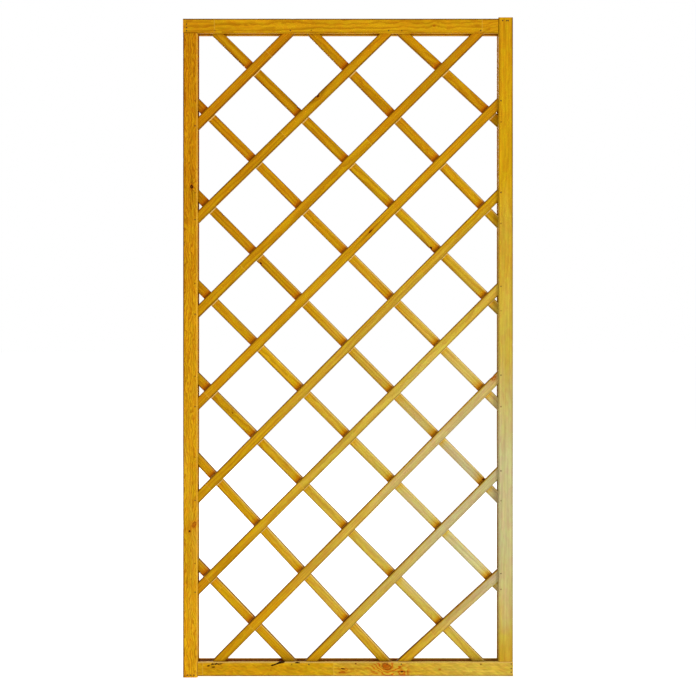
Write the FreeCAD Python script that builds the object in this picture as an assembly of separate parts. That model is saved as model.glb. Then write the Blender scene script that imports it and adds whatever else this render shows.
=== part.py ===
"""Timber trellis panel: a grooved softwood frame with a diamond lattice of two crossed layers of laths.

Millimetres.  +X is to the right, +Y is away from the viewer and +Z is up.  The origin is at the
bottom centre of the panel, and the front face lies at -Y.

The four frame bars meet in a pinwheel: at each corner one bar runs through with an open mortise in
its end, and the other bar ends in a tenon that fills that mortise.  A groove along every inner edge
holds the ends of the laths.  The rising laths (low left, high right) are the front layer and the
falling laths are the back layer.  Steel brads hold the corners and the lath ends, and a staple
driven from the back holds each crossing.
"""

import FreeCAD, Part
import math
import os

Vector = FreeCAD.Vector
os.makedirs("parts", exist_ok=True)

# Driving dimensions
panel_width = 900.0
panel_height = 1800.0
bar_size = 40.0
bar_outer_round = 3.0
bar_inner_round = 3.5
horn = 3.0

front_lip = 8.5
groove_width = 19.5
groove_depth = 15.0
groove_mouth_round = 0.6

lath_width = 26.0
lath_thickness = 9.0
lath_edge_round = 1.0
lath_front_gap = 0.6
lath_end_gap = 3.0
laths_per_layer = 9
lath_step = 252.5
lattice_centre_z = 902.0

# How far each lath, counted from the top, lies from its even place: its lift in mm at
# mid-length, and its lean in degrees.
rising_lift = [9, 0, -2, 1, 1, 0, 5, 0, -13]
rising_lean = [0, -0.7, -0.2, 0, 0.2, 0, 0.4, 0.2, -2.7]
falling_lift = [9, 0, 2, 1, 0, 8, 4, 18, -4]
falling_lean = [-2.4, 0.5, -0.6, 0, 0.2, 0, 0.2, 2.2, 1.3]

brad_diameter = 1.8
brad_head_diameter = 2.6
brad_head_thickness = 1.2
brad_set_below = 0.4
corner_brad_length = 31.0
front_brad_length = 15.5
back_brad_length = 18.5
lath_brad_from_edge = 7.0

# Corner brads as (distance from the through bar's end, distances from the corner's seam)
top_left_brads = (10.0, (6.5, 15.0, 24.5))
top_right_brads = (9.0, (11.5, 22.0, 26.5))
bottom_left_brads = (6.5, (10.0, 19.0, 27.5))
bottom_right_brads = (5.0, (6.0, 18.0, 28.5))

staple_crown = 11.0
staple_wire_width = 1.3
staple_wire_thickness = 0.9
staple_leg_length = 15.0
staple_turn_deg = 45.0

# Worked out from the driving dimensions
half_width = panel_width / 2
half_depth = bar_size / 2
inner_half_width = half_width - bar_size
top_rail_underside = panel_height - horn - bar_size
bottom_rail_top = horn + bar_size
tenon_width = bar_size - groove_depth

groove_front_y = -half_depth + front_lip
groove_back_y = groove_front_y + groove_width
front_lath_y = groove_front_y + lath_front_gap
back_lath_y = front_lath_y + lath_thickness
lath_back_face_y = back_lath_y + lath_thickness

past = 5.0  # how far a cutting solid reaches past what it cuts


def rounded_outline(corners):
    """A closed face in the YZ plane, from (y, z, radius) at each of its square corners in order."""
    edges = []
    starts = []
    ends = []
    for index, (y, z, radius) in enumerate(corners):
        corner = Vector(0, y, z)
        before = Vector(0, corners[index - 1][0], corners[index - 1][1])
        after_at = (index + 1) % len(corners)
        after = Vector(0, corners[after_at][0], corners[after_at][1])
        to_before = (before - corner).normalize() * radius
        to_after = (after - corner).normalize() * radius
        starts.append(corner + to_before)
        ends.append(corner + to_after)
        if radius > 0:
            centre = corner + to_before + to_after
            middle = centre + (corner - centre).normalize() * radius
            edges.append(Part.Arc(starts[-1], middle, ends[-1]).toShape())
        else:
            edges.append(None)
    outline = []
    for index, arc in enumerate(edges):
        if arc is not None:
            outline.append(arc)
        following = (index + 1) % len(edges)
        outline.append(Part.LineSegment(ends[index], starts[following]).toShape())
    return Part.Face(Part.Wire(outline))


def block(low, high):
    """A box between two corners."""
    size = Vector(*high) - Vector(*low)
    return Part.makeBox(size.x, size.y, size.z, Vector(*low))


def grooved_bar(length, mortise_length):
    """A frame bar along +X with its inner edge at z = 0 and its groove facing down.

    The open mortise is at x = 0, and the last bar_size of the length is the tenon.
    """
    profile = rounded_outline(
        [
            (-half_depth, 0, bar_inner_round),
            (-half_depth, bar_size, bar_outer_round),
            (half_depth, bar_size, bar_outer_round),
            (half_depth, 0, bar_inner_round),
            (groove_back_y, 0, groove_mouth_round),
            (groove_back_y, groove_depth, 0),
            (groove_front_y, groove_depth, 0),
            (groove_front_y, 0, groove_mouth_round),
        ]
    )
    bar = profile.extrude(Vector(length, 0, 0))
    mortise = block((-past, groove_front_y, -past), (mortise_length, groove_back_y, bar_size + past))
    shoulder_x = length - bar_size
    front_cheek = block((shoulder_x, -half_depth - past, -past), (length + past, groove_front_y, bar_size + past))
    back_cheek = block((shoulder_x, groove_back_y, -past), (length + past, half_depth + past, bar_size + past))
    return bar.cut(mortise).cut(front_cheek).cut(back_cheek)


def turned_half_round(shape):
    """A copy turned half round about the panel's centre, front face still to the front."""
    copy = shape.copy()
    copy.rotate(Vector(0, 0, panel_height / 2), Vector(0, 1, 0), 180)
    return copy


def make_frame():
    """The four frame bars by name; the right and bottom bars are the left and top ones turned."""
    top_rail = grooved_bar(panel_width, tenon_width)
    top_rail.translate(Vector(-half_width, 0, top_rail_underside))
    left_post = grooved_bar(panel_height - horn, tenon_width + horn)
    left_post.rotate(Vector(0, 0, 0), Vector(0, 1, 0), -90)
    left_post.translate(Vector(-inner_half_width, 0, 0))
    return {
        "left_post": left_post,
        "right_post": turned_half_round(left_post),
        "top_rail": top_rail,
        "bottom_rail": turned_half_round(top_rail),
    }


class Lath:
    """One lath's centre line, which runs between the inner edges of the frame."""

    def __init__(self, name, rises, index, lift, lean, front_y):
        self.name = name
        self.front_y = front_y
        direction = 1 if rises else -1
        crossing_z = lattice_centre_z + lath_step * (laths_per_layer // 2 - index)
        even_ends = self.line_in_frame(crossing_z, direction)
        middle_x = (even_ends[0][0] + even_ends[1][0]) / 2
        middle_z = crossing_z + direction * middle_x + lift
        self.angle_deg = direction * (45 + lean)
        self.slope = math.tan(math.radians(self.angle_deg))
        self.centre_z = middle_z - self.slope * middle_x
        self.middle_x = middle_x
        self.ends = self.line_in_frame(self.centre_z, self.slope)

    @staticmethod
    def line_in_frame(centre_z, slope):
        """The two (x, z) points where the line z = centre_z + slope * x meets the inner edges."""
        at_low = (bottom_rail_top - centre_z) / slope
        at_high = (top_rail_underside - centre_z) / slope
        left = max(-inner_half_width, min(at_low, at_high))
        right = min(inner_half_width, max(at_low, at_high))
        return [(left, centre_z + slope * left), (right, centre_z + slope * right)]

    def solid(self):
        """The lath, cut off parallel to the bars, a little short of the bottoms of their grooves."""
        half = lath_width / 2
        reach = 2 * panel_height
        profile = rounded_outline(
            [
                (0, -half, lath_edge_round),
                (0, half, lath_edge_round),
                (lath_thickness, half, lath_edge_round),
                (lath_thickness, -half, lath_edge_round),
            ]
        )
        strip = profile.extrude(Vector(reach, 0, 0))
        strip.translate(Vector(-reach / 2, self.front_y, 0))
        strip.rotate(Vector(0, 0, 0), Vector(0, 1, 0), -self.angle_deg)
        strip.translate(Vector(self.middle_x, 0, self.centre_z + self.slope * self.middle_x))
        inset = groove_depth - lath_end_gap
        room = block(
            (-inner_half_width - inset, self.front_y - past, bottom_rail_top - inset),
            (inner_half_width + inset, self.front_y + lath_thickness + past, top_rail_underside + inset),
        )
        return strip.common(room)

    def brad_places(self):
        """The (x, z) of the brad at each end, out over the lip of the bar that the end sits in."""
        places = []
        run = Vector(self.ends[1][0] - self.ends[0][0], 0, self.ends[1][1] - self.ends[0][1])
        step = run.normalize() * (lath_brad_from_edge / abs(math.cos(math.radians(self.angle_deg))))
        places.append((self.ends[0][0] - step.x, self.ends[0][1] - step.z))
        places.append((self.ends[1][0] + step.x, self.ends[1][1] + step.z))
        return places


def crossing(first, second):
    """The (x, z) where two laths' centre lines cross, or None outside the frame's inner edges."""
    x = (second.centre_z - first.centre_z) / (first.slope - second.slope)
    z = first.centre_z + first.slope * x
    inside = abs(x) < inner_half_width and bottom_rail_top < z < top_rail_underside
    return (x, z) if inside else None


def brad(x, z, from_front, length):
    """A brad and its hole, along Y, with its head set a little below the face it was driven from."""
    side = -1 if from_front else 1
    inward = Vector(0, -side, 0)
    face = Vector(x, side * half_depth, z)
    head_at = face + inward * brad_set_below
    head = Part.makeCylinder(brad_head_diameter / 2, brad_head_thickness, head_at, inward)
    shank = Part.makeCylinder(brad_diameter / 2, length, head_at, inward)
    mouth = Part.makeCylinder(brad_head_diameter / 2, brad_set_below + past, head_at, inward * -1)
    nail = head.fuse(shank)
    return nail, nail.fuse(mouth)


def staple(x, z):
    """A staple and its slot, driven from the back until its crown is flush with the back laths."""
    half = staple_crown / 2
    wide = staple_wire_width / 2
    back = lath_back_face_y
    crown_front = back - staple_wire_thickness
    crown = block((-half, crown_front, -wide), (half, back, wide))
    left_leg = block((-half, back - staple_leg_length, -wide), (-half + staple_wire_thickness, back, wide))
    right_leg = block((half - staple_wire_thickness, back - staple_leg_length, -wide), (half, back, wide))
    wire = crown.fuse(left_leg).fuse(right_leg).removeSplitter()
    wire.rotate(Vector(0, 0, 0), Vector(0, 1, 0), staple_turn_deg)
    wire.translate(Vector(x, 0, z))
    return wire


def corner_brads():
    """Every corner brad with its hole: three across the end of the through bar at each corner."""
    places = []
    from_end, from_seam = top_left_brads
    places += [(-half_width + from_end, top_rail_underside + seam) for seam in from_seam]
    from_end, from_seam = top_right_brads
    places += [(inner_half_width + seam, panel_height - from_end) for seam in from_seam]
    from_end, from_seam = bottom_left_brads
    places += [(-inner_half_width - seam, from_end) for seam in from_seam]
    from_end, from_seam = bottom_right_brads
    places += [(half_width - from_end, bottom_rail_top - seam) for seam in from_seam]
    return [brad(x, z, True, corner_brad_length) for x, z in places]


def cut_all(solid, cutters):
    """The solid less those cutters that reach it."""
    near = [cutter for cutter in cutters if cutter.BoundBox.intersect(solid.BoundBox)]
    return solid.cut(near) if near else solid


def main():
    rising = [
        Lath(f"rising_lath_{i + 1}", True, i, rising_lift[i], rising_lean[i], front_lath_y)
        for i in range(laths_per_layer)
    ]
    falling = [
        Lath(f"falling_lath_{i + 1}", False, i, falling_lift[i], falling_lean[i], back_lath_y)
        for i in range(laths_per_layer)
    ]
    wood = make_frame()
    for lath in rising + falling:
        wood[lath.name] = lath.solid()

    fasteners = {
        "corner_brads": corner_brads(),
        "front_lath_brads": [
            brad(x, z, True, front_brad_length) for lath in rising for x, z in lath.brad_places()
        ],
        "back_lath_brads": [
            brad(x, z, False, back_brad_length) for lath in falling for x, z in lath.brad_places()
        ],
    }
    holes = [hole for pairs in fasteners.values() for _, hole in pairs]
    places = [crossing(front, back) for front in rising for back in falling]
    staples = [staple(*place) for place in places if place]

    for name, solid in wood.items():
        finished = cut_all(solid, holes + staples)
        finished.exportStep(f"parts/{name}.step")
        print(name, len(finished.Solids), "solid", round(finished.Volume / 1000, 1), "cm3")
    for name, pairs in fasteners.items():
        Part.makeCompound([nail for nail, _ in pairs]).exportStep(f"parts/{name}.step")
        print(name, len(pairs), "brads")
    Part.makeCompound(staples).exportStep("parts/crossing_staples.step")
    print("crossing_staples", len(staples), "staples")


main()
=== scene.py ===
"""Looks of the timber trellis panel: planed posts and rails, two layers of laths, brads and staples.

Metres, in the row's own frame: +X right, +Y from the front face to the back, +Z up.
"""

import math
from collections import namedtuple

import bmesh
import bpy
import numpy as np
from bpy.props import FloatProperty, FloatVectorProperty, PointerProperty
from bpy.types import Operator, Panel, PropertyGroup
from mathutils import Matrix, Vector, noise


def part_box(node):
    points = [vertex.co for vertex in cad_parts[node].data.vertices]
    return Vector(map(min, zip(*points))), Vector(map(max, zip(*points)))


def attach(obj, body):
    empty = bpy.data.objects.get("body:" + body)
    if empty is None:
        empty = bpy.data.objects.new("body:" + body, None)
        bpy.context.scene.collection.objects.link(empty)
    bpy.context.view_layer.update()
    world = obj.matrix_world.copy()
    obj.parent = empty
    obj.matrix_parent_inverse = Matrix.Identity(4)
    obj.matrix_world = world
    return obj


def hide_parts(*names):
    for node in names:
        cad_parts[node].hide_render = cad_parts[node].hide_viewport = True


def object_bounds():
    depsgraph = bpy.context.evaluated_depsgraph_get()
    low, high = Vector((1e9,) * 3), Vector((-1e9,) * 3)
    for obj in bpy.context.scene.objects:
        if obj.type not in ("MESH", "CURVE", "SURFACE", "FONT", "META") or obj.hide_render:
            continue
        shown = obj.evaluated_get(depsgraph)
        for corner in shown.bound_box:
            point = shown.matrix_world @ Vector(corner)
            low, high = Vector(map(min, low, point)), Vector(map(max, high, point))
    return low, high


bl_info = {
    "name": "Timber trellis panel",
    "version": (1, 0, 0),
    "blender": (4, 5, 0),
    "location": "View3D > Sidebar > Trellis",
    "description": "Builds the planed and stained timber, brads and staples of a diamond trellis panel",
    "category": "Object",
}

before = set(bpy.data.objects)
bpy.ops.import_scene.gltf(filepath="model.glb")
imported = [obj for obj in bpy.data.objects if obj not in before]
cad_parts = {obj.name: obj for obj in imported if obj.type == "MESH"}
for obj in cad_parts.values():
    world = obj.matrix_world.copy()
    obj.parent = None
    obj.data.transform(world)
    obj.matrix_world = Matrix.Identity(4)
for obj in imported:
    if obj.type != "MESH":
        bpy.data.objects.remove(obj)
cad_low, cad_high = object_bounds()

MM = 0.001
# How far beyond the end of each rounded arris a section has an extra point
BESIDE_ARRIS = 1.3 * MM
RIGHT = Vector((1, 0, 0))
BACK = Vector((0, 1, 0))
UP = Vector((0, 0, 1))

LATH_COUNT = 9
RISING_LATHS = [f"rising_lath_{i + 1}" for i in range(LATH_COUNT)]
FALLING_LATHS = [f"falling_lath_{i + 1}" for i in range(LATH_COUNT)]

BRAD_NODES = ("corner_brads", "front_lath_brads", "back_lath_brads")

# Each bar: its direction, the way out from its inner edge, whether its open mortise is at the start
# of that direction, and the bar whose tenon fills the mortise.
BARS = {
    "left_post": (UP, -RIGHT, True, "bottom_rail"),
    "right_post": (UP, RIGHT, False, "top_rail"),
    "top_rail": (RIGHT, UP, True, "left_post"),
    "bottom_rail": (RIGHT, -UP, False, "right_post"),
}

# Glued finger joints, as mm along each bar from its left or lower end
BAR_JOINTS = {
    "top_rail": (86, 816),
    "bottom_rail": (54, 411),
}
# and as mm to the right of the panel's middle on each lath.
LATH_JOINTS = {
    "rising_lath_1": (-216,),
    "rising_lath_2": (-176,),
    "rising_lath_3": (-287, 59),
    "rising_lath_4": (-385,),
    "rising_lath_5": (-380,),
    "rising_lath_6": (-383, -126),
    "rising_lath_7": (-263,),
    "rising_lath_9": (234,),
    "falling_lath_9": (-347,),
}

# A knot: where it lies, its half length and half width, all in mm, how many degrees it is turned,
# how many mm the growth rings bulge round it, and whether it is a dead, black one.
Knot = namedtuple("Knot", "along out long wide turn lift dead")

# Knots on the bars, by mm along and mm out from the inner edge
BAR_KNOTS = {
    "left_post": (
        Knot(1338, 16.5, 5.5, 4, 0, 7, 1),
        Knot(417, 9.5, 8.5, 5, -35, 9, 0),
        Knot(399, 22, 3, 2.6, 0, 4, 1),
        Knot(361, 17.5, 1.6, 1.4, 0, 2, 1),
    ),
    "top_rail": (Knot(685, 20, 3, 2.5, 0, 5, 0),),
    "bottom_rail": (
        Knot(437, 19, 6, 1.6, 10, 8, 1),
        Knot(434, 29, 9, 2.2, -6, 6, 0),
        Knot(555, 13, 13, 9, 25, 26, 0),
        Knot(597, 27, 4, 2, 0, 12, 1),
        Knot(600, 37, 5, 2.5, 40, 6, 0),
        Knot(471, 5, 2, 1.6, 0, 3, 1),
        Knot(700, 21, 3, 2, 0, 4, 0),
    ),
}
# and on the laths, by mm to the right of the panel's middle and mm above the centre line.
LATH_KNOTS = {
    "rising_lath_2": (Knot(-76, 9, 5, 3.4, 20, 5, 1),),
    "rising_lath_4": (Knot(62, 0, 8, 2, 0, 4, 1),),
    "rising_lath_7": (Knot(404, 7, 7, 5, 0, 6, 0),),
    "falling_lath_3": (Knot(234, -9, 4, 2.5, 0, 4, 1), Knot(-145, 11, 4, 2.8, 0, 3, 1)),
    "falling_lath_5": (
        Knot(-233, -9, 4, 2.5, 0, 4, 1),
        Knot(367, 7, 4, 2.5, 30, 4, 1),
        Knot(-351, 12, 3, 2, 0, 3, 1),
    ),
    "falling_lath_7": (Knot(-317, 0, 2, 1.5, 0, 3, 1),),
}

# Bruises in the bars' arrises: mm along, out from the inner edge, half length, depth
BAR_BRUISES = {
    "left_post": ((1411, 40, 7, 1.2), (410, 40, 9, 1.5), (425, 40, 4, 1.2)),
    "right_post": ((905, 40, 6, 0.8),),
    "top_rail": ((300, 40, 8, 0.8),),
    "bottom_rail": ((640, 40, 12, 0.9), (150, 40, 9, 0.8)),
}

# Drying cracks in the front of the bottom rail: each a line of (mm along, mm out from the inner edge,
# mm wide)
BOTTOM_RAIL_CRACKS = (
    (
        (273, -1.5, 9),
        (268, 0.8, 6),
        (263, 2.6, 4.2),
        (258, 4.6, 2.8),
        (251, 7.2, 2.2),
        (244, 9.4, 2.8),
        (240, 10.4, 0.5),
    ),
    ((66, 11.5, 0.5), (69, 11, 2.2), (73, 10, 0.5)),
    ((77, 8, 0.4), (80, 6, 2.4), (84, 6.5, 1.2), (88, 6, 1.0), (92, 5, 2.2), (97, 6.5, 1.4), (107, 5, 0.3)),
    ((79, 14.5, 0.3), (83, 14.5, 2.0), (87, 14, 0.4)),
    ((306, 3, 0.3), (311, 2, 1.8), (318, 3, 0.3)),
)
# The stretches of its length where those cracks lie, in mm
CRACKED = ((62, 112), (236, 322))

# How a bar's timber looks. At its two ends: how much more painted sheen it has than the laths beside it,
# how light it is beside them and how much painted shade lies in its groove. All over: how curly its grain
# is and how plainly its growth rings show. Then how its front lip's inner arris is painted, 1 painted shade
# to -1 a painted highlight, and how much more painted highlight that arris gets.
BarLook = namedtuple("BarLook", "fading tone groove curl figure lip bare")
BAR_LOOKS = {
    "left_post": BarLook((0.20, 0.0), (1.15, 1.01), (0.35, 0.9), 0.45, 1.4, -1, 0.0),
    "right_post": BarLook((0.02, 0.13), (0.97, 1.10), (1.0, 1.0), 0.04, 0.4, 0.5, 0.0),
    "top_rail": BarLook((0.10, 0.10), (1.03, 1.02), (0.55, 0.55), 0.2, 0.8, 0.5, 0.0),
    "bottom_rail": BarLook((0.06, 0.20), (1.03, 0.93), (1.0, 1.0), 1.0, 0.55, -1, 0.45),
}
LATH_CURL = 0.22
LATH_FIGURE = 0.75

FAR_FROM_KNOTS = 9.0  # the most that a distance from a knot, in sizes of that knot, is given as
BAR_RIPPLE = 0.06 * MM  # what the planer has left on the bars
LATH_RIPPLE = 0.05 * MM  # and on the laths
BAR_BRUISE_REACH = 5 * MM  # how far a bruise reaches round its middle in a bar's section
LATH_BRUISE_REACH = 3 * MM  # and in a lath's
SUNK_KNOT = 0.7 * MM  # how far a dead knot has dropped below the face
NO_JOINT = 99.0  # a finger joint's place where there is none
RUST_REACH = 5 * MM  # how far rust has spread from a brad
BRAD_SET = 0.4 * MM  # how far the brads' heads are set below the timber's face

# The timbers: the usual growth ring, how far the grain wanders and how plainly the rings show
TIMBERS = {
    "frame_pine": (6.0 * MM, 26 * MM, 0.9),
    "lath_pine": (3.6 * MM, 9 * MM, 0.9),
}

# The painted sheen on the panel is strongest round this place, x and z, and reaches about this far from it
SHEEN_CENTRE = (440 * MM, 460 * MM)
SHEEN_REACH = 650 * MM

# The softboxes: where each stands, its sides and the stage's setting for its strength
SOFTBOXES = {
    "key_softbox": ((6.2, -6.4, 1.1), (3.0, 2.0), "key_watts"),
    "fill_softbox": ((-0.9, -7.2, 2.2), (3.4, 3.4), "fill_watts"),
    "back_softbox": ((-1.8, 4.2, 3.0), (2.6, 2.6), "back_watts"),
}


def length_setting(name, description, default):
    """A length that a user may change."""
    return FloatProperty(name=name, description=description, default=default, unit="LENGTH")


def angle_setting(name, description, degrees):
    """An angle that a user may change."""
    return FloatProperty(name=name, description=description, default=math.radians(degrees), unit="ROTATION")


def watts_setting(name, description, default):
    """A light's strength that a user may change."""
    return FloatProperty(name=name, description=description, default=default, min=0, unit="POWER")


def colour_setting(name, description, default):
    """A colour that a user may change."""
    return FloatVectorProperty(name=name, description=description, default=default, subtype="COLOR")


class TrellisSizes(PropertyGroup):
    """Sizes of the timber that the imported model's boxes don't give."""

    front_lip: length_setting("Front lip", "Timber in front of the groove", 8.5 * MM)
    groove_width: length_setting("Groove width", "Front to back", 19.5 * MM)
    groove_depth: length_setting("Groove depth", "Into the inner edge", 15 * MM)
    outer_round: length_setting("Outer arris", "Radius of the outer long edges", 3 * MM)
    inner_round: length_setting("Inner arris", "Radius of the inner long edges", 3.5 * MM)
    lath_round: length_setting("Lath arris", "Radius of the laths' long edges", 1 * MM)
    shoulder_gap: length_setting("Shoulder gap", "Open line at each corner's seam", 0.35 * MM)
    wear: length_setting("Arris wear", "Most that handling has rubbed off an arris", 0.5 * MM)
    bar_step: length_setting("Bar mesh step", "Along the posts and rails", 12 * MM)
    lath_step: length_setting("Lath mesh step", "Along the laths", 10 * MM)
    face_step: length_setting("Face mesh step", "Across the faces", 3 * MM)
    fine_step: length_setting("Fine mesh step", "Beside knots, bruises, brads and crossings", 1.5 * MM)


class TrellisColours(PropertyGroup):
    """Colours of the stained timber and of its painted sheen, shade, shadows and highlights, the fasteners
    and the floor.
    """

    amber: colour_setting("Amber", "The stain where it is freshest", (0.560, 0.232, 0.002))
    # Honey, straw and khaki are the amber stain under more and more painted sheen
    honey: colour_setting("Honey", "The stain a little faded", (0.620, 0.340, 0.006))
    straw: colour_setting("Straw", "The stain half bleached", (0.610, 0.430, 0.060))
    khaki: colour_setting("Khaki", "The stain bleached pale", (0.575, 0.500, 0.235))
    summer_wood: colour_setting("Summer wood", "Tint of each ring's dark part", (0.64, 0.48, 0.34))
    # Painted shade along the arrises, also the tint of resin run from a knot
    arris_shade_and_resin: colour_setting("Arris stain", "Tint of the stain left on arrises", (0.20, 0.12, 0.045))
    # Painted shade in the grooves and beside crossings, also the dark of open end grain
    shade_and_end_grain: colour_setting("Deep stain", "Stain pooled in the grooves", (0.235, 0.026, 0.001))
    # Painted shadow beside a crossing, also the red in and round the knots
    knot_red_and_crossing_shadow: colour_setting("Pooled stain", "Stain left beside a crossing", (0.52, 0.105, 0.001))
    knot_heart: colour_setting("Knot heart", "Middle of a knot", (0.30, 0.075, 0.003))
    knot_bark: colour_setting("Knot bark", "Dark ring round a knot", (0.030, 0.006, 0.001))
    # Painted highlight on some inner arrises
    rubbed_and_highlit: colour_setting("Rubbed arris", "Stain worn thin", (0.80, 0.46, 0.055))
    # Painted highlight strips on arrises and below crossings
    painted_highlight_colour: colour_setting("Bare wood", "Strip that the stain never reached", (0.82, 0.58, 0.20))
    glue_line: colour_setting("Glue line", "Thin line at a finger joint", (0.70, 0.42, 0.06))
    wire: colour_setting("Wire", "Weathered wire of the brads and staples", (0.060, 0.048, 0.035))
    rust: colour_setting("Rust", "Rust specks and stains", (0.10, 0.028, 0.004))
    floor: colour_setting("Floor", "Plain pale floor", (0.62, 0.62, 0.62))


class TrellisStage(PropertyGroup):
    """Camera and studio light."""

    eye_height: length_setting("Eye height", "Above the foot", 0.955)
    eye_distance: length_setting("Eye distance", "From the front face", 3.15)
    field: angle_setting("Field of view", "Of the frame's side", 33.52)
    pitch: angle_setting("Downward pitch", "Below level", 0.0)
    view_shift: FloatProperty(name="Shift", description="Of the frame's side", default=-0.0298)
    key_watts: watts_setting("Key light", "Soft light at the right", 300.0)
    fill_watts: watts_setting("Fill light", "Soft light in front", 100.0)
    back_watts: watts_setting("Back light", "Soft light behind", 185.0)
    sky: FloatProperty(name="Ambient light", description="All round", default=0.22, min=0)
    floor_glow: FloatProperty(name="Floor glow", description="Lit-up floor", default=0.88, min=0)


def sizes():
    """The panel's sizes."""
    return bpy.context.scene.trellis_sizes


def colours():
    """The panel's colours."""
    return bpy.context.scene.trellis_colours


# ---------------------------------------------------------------- mesh tools


def rectangle(half_width, half_height, radius):
    """The four corners of a rectangular section as rounded_outline takes them."""
    signs = ((-1, -1), (1, -1), (1, 1), (-1, 1))
    return [(x * half_width, y * half_height, radius) for x, y in signs]


def rounded_outline(corners, step, beside=0.0):
    """Points round a closed outline from its corners (x, y, radius), and how far into an arris each is.

    beside is the distance from each rounded corner to an extra point on the flats.
    """
    points = []
    arris = []
    arc_steps = 4
    count = len(corners)
    for i, (x, y, radius) in enumerate(corners):
        corner = np.array((x, y))
        next_corner = corners[(i + 1) % count]
        before = np.array(corners[i - 1][:2]) - corner
        after = np.array(next_corner[:2]) - corner
        span = np.linalg.norm(after)
        before = before / np.linalg.norm(before)
        after = after / span
        if radius > 0:
            centre = corner + (before + after) * radius
            for k in range(arc_steps + 1):
                turn = math.pi / 2 * k / arc_steps
                points.append(centre - after * radius * math.cos(turn) - before * radius * math.sin(turn))
                arris.append(math.sin(2 * turn))
        else:
            points.append(corner)
            arris.append(0.0)
        first, last = radius, span - next_corner[2]
        inner_first, inner_last = first, last
        if beside > 0 and last - first > 4 * beside:
            inner_first += beside if radius > 0 else 0.0
            inner_last -= beside if next_corner[2] > 0 else 0.0
        runs = max(1, math.ceil((inner_last - inner_first) / step))
        between = [inner_first + (inner_last - inner_first) * k / runs for k in range(runs + 1)]
        for distance in between:
            if first + 1e-9 < distance < last - 1e-9:
                points.append(corner + after * distance)
                arris.append(0.0)
    return np.array(points), np.array(arris)


def inward_normals(outline):
    """The inward direction at each point of a closed outline."""
    along = np.roll(outline, -1, axis=0) - np.roll(outline, 1, axis=0)
    along /= np.linalg.norm(along, axis=1)[:, None]
    normals = np.stack([-along[:, 1], along[:, 0]], axis=1)
    x, y = outline[:, 0], outline[:, 1]
    signed_area = np.sum(x * np.roll(y, -1) - y * np.roll(x, -1))
    return normals if signed_area > 0 else -normals


def stations(start, finish, step, fine_stretches, fine_step):
    """Places along a piece, closer together in each fine stretch (from, to)."""
    places = list(np.linspace(start, finish, max(2, round((finish - start) / step) + 1)))
    for first, last in fine_stretches:
        places += list(np.arange(first, last, fine_step))
    places = sorted(p for p in places if start <= p <= finish)
    closest = fine_step * 0.45
    kept = [places[0]]
    for place in places[1:-1]:
        if place - kept[-1] > closest:
            kept.append(place)
    if places[-1] - kept[-1] < closest:
        kept.pop()
    return np.array(kept + [places[-1]])


def swept_mesh(outline, places, push):
    """A closed mesh along x: the outline at each place, each point pushed inwards by push(place, index)."""
    inward = inward_normals(outline)
    rings = []
    for place in places:
        depths = np.array([push(place, i) for i in range(len(outline))])
        ring = outline + inward * depths[:, None]
        rings.append(np.column_stack([np.full(len(outline), place), ring]))
    return mesh_of(np.concatenate(rings), tube_faces(len(rings), len(outline)))


def tube_faces(rings, sides):
    """The faces of a tube with closed ends whose points are one ring after another."""
    faces = []
    for here in range(0, (rings - 1) * sides, sides):
        there = here + sides
        for i in range(sides):
            j = (i + 1) % sides
            faces.append((here + i, here + j, there + j, there + i))
    faces.append(tuple(range(sides))[::-1])
    faces.append(tuple((rings - 1) * sides + i for i in range(sides)))
    return faces


def mesh_of(points, faces):
    """A mesh with its normals facing out."""
    mesh = bpy.data.meshes.new("timber")
    mesh.from_pydata([tuple(p) for p in points], [], faces)
    return face_outwards(mesh)


def face_outwards(mesh):
    """The mesh with the normals of its closed shapes turned out."""
    shape = bmesh.new()
    shape.from_mesh(mesh)
    bmesh.ops.recalc_face_normals(shape, faces=shape.faces)
    shape.to_mesh(mesh)
    shape.free()
    return mesh


def box_shape(low, high):
    """A box as (points, faces)."""
    points = [(x, y, z) for x in (low[0], high[0]) for y in (low[1], high[1]) for z in (low[2], high[2])]
    faces = [(0, 1, 3, 2), (4, 6, 7, 5), (0, 4, 5, 1), (2, 3, 7, 6), (0, 2, 6, 4), (1, 5, 7, 3)]
    return points, faces


def turned_shape(profile, base, axis, sides=14):
    """A closed round shape from (radius, height) pairs that start and end on the axis."""
    axis = Vector(axis).normalized()
    side = axis.orthogonal().normalized()
    other = axis.cross(side)
    points = [tuple(Vector(base) + axis * profile[0][1])]
    for radius, height in profile[1:-1]:
        for k in range(sides):
            turn = 2 * math.pi * k / sides
            spoke = side * math.cos(turn) + other * math.sin(turn)
            points.append(tuple(Vector(base) + spoke * radius + axis * height))
    points.append(tuple(Vector(base) + axis * profile[-1][1]))
    last = len(points) - 1
    rings = len(profile) - 2
    faces = []
    for k in range(sides):
        following = (k + 1) % sides
        faces.append((0, 1 + following, 1 + k))
        for ring in range(rings - 1):
            a = 1 + ring * sides
            b = a + sides
            faces.append((a + k, a + following, b + following, b + k))
        end = 1 + (rings - 1) * sides
        faces.append((last, end + k, end + following))
    return points, faces


def crack_shape(line, surface, depth):
    """A thin wedge that opens a crack in a surface at y = surface, along (x, z, width) points."""
    above = surface - 1 * MM
    full_depth_width = 1.2 * MM
    points = []
    for x, z, width in line:
        points.append((x, above, z - width / 2))
        points.append((x, above, z + width / 2))
        points.append((x, surface + depth * min(1.0, width / full_depth_width), z))
    faces = [(0, 1, 2)]
    for i in range(len(line) - 1):
        a = 3 * i
        b = a + 3
        faces += [(a, b, b + 1, a + 1), (a + 1, b + 1, b + 2, a + 2), (a + 2, b + 2, b, a)]
    end = 3 * (len(line) - 1)
    faces.append((end, end + 2, end + 1))
    return points, faces


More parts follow.
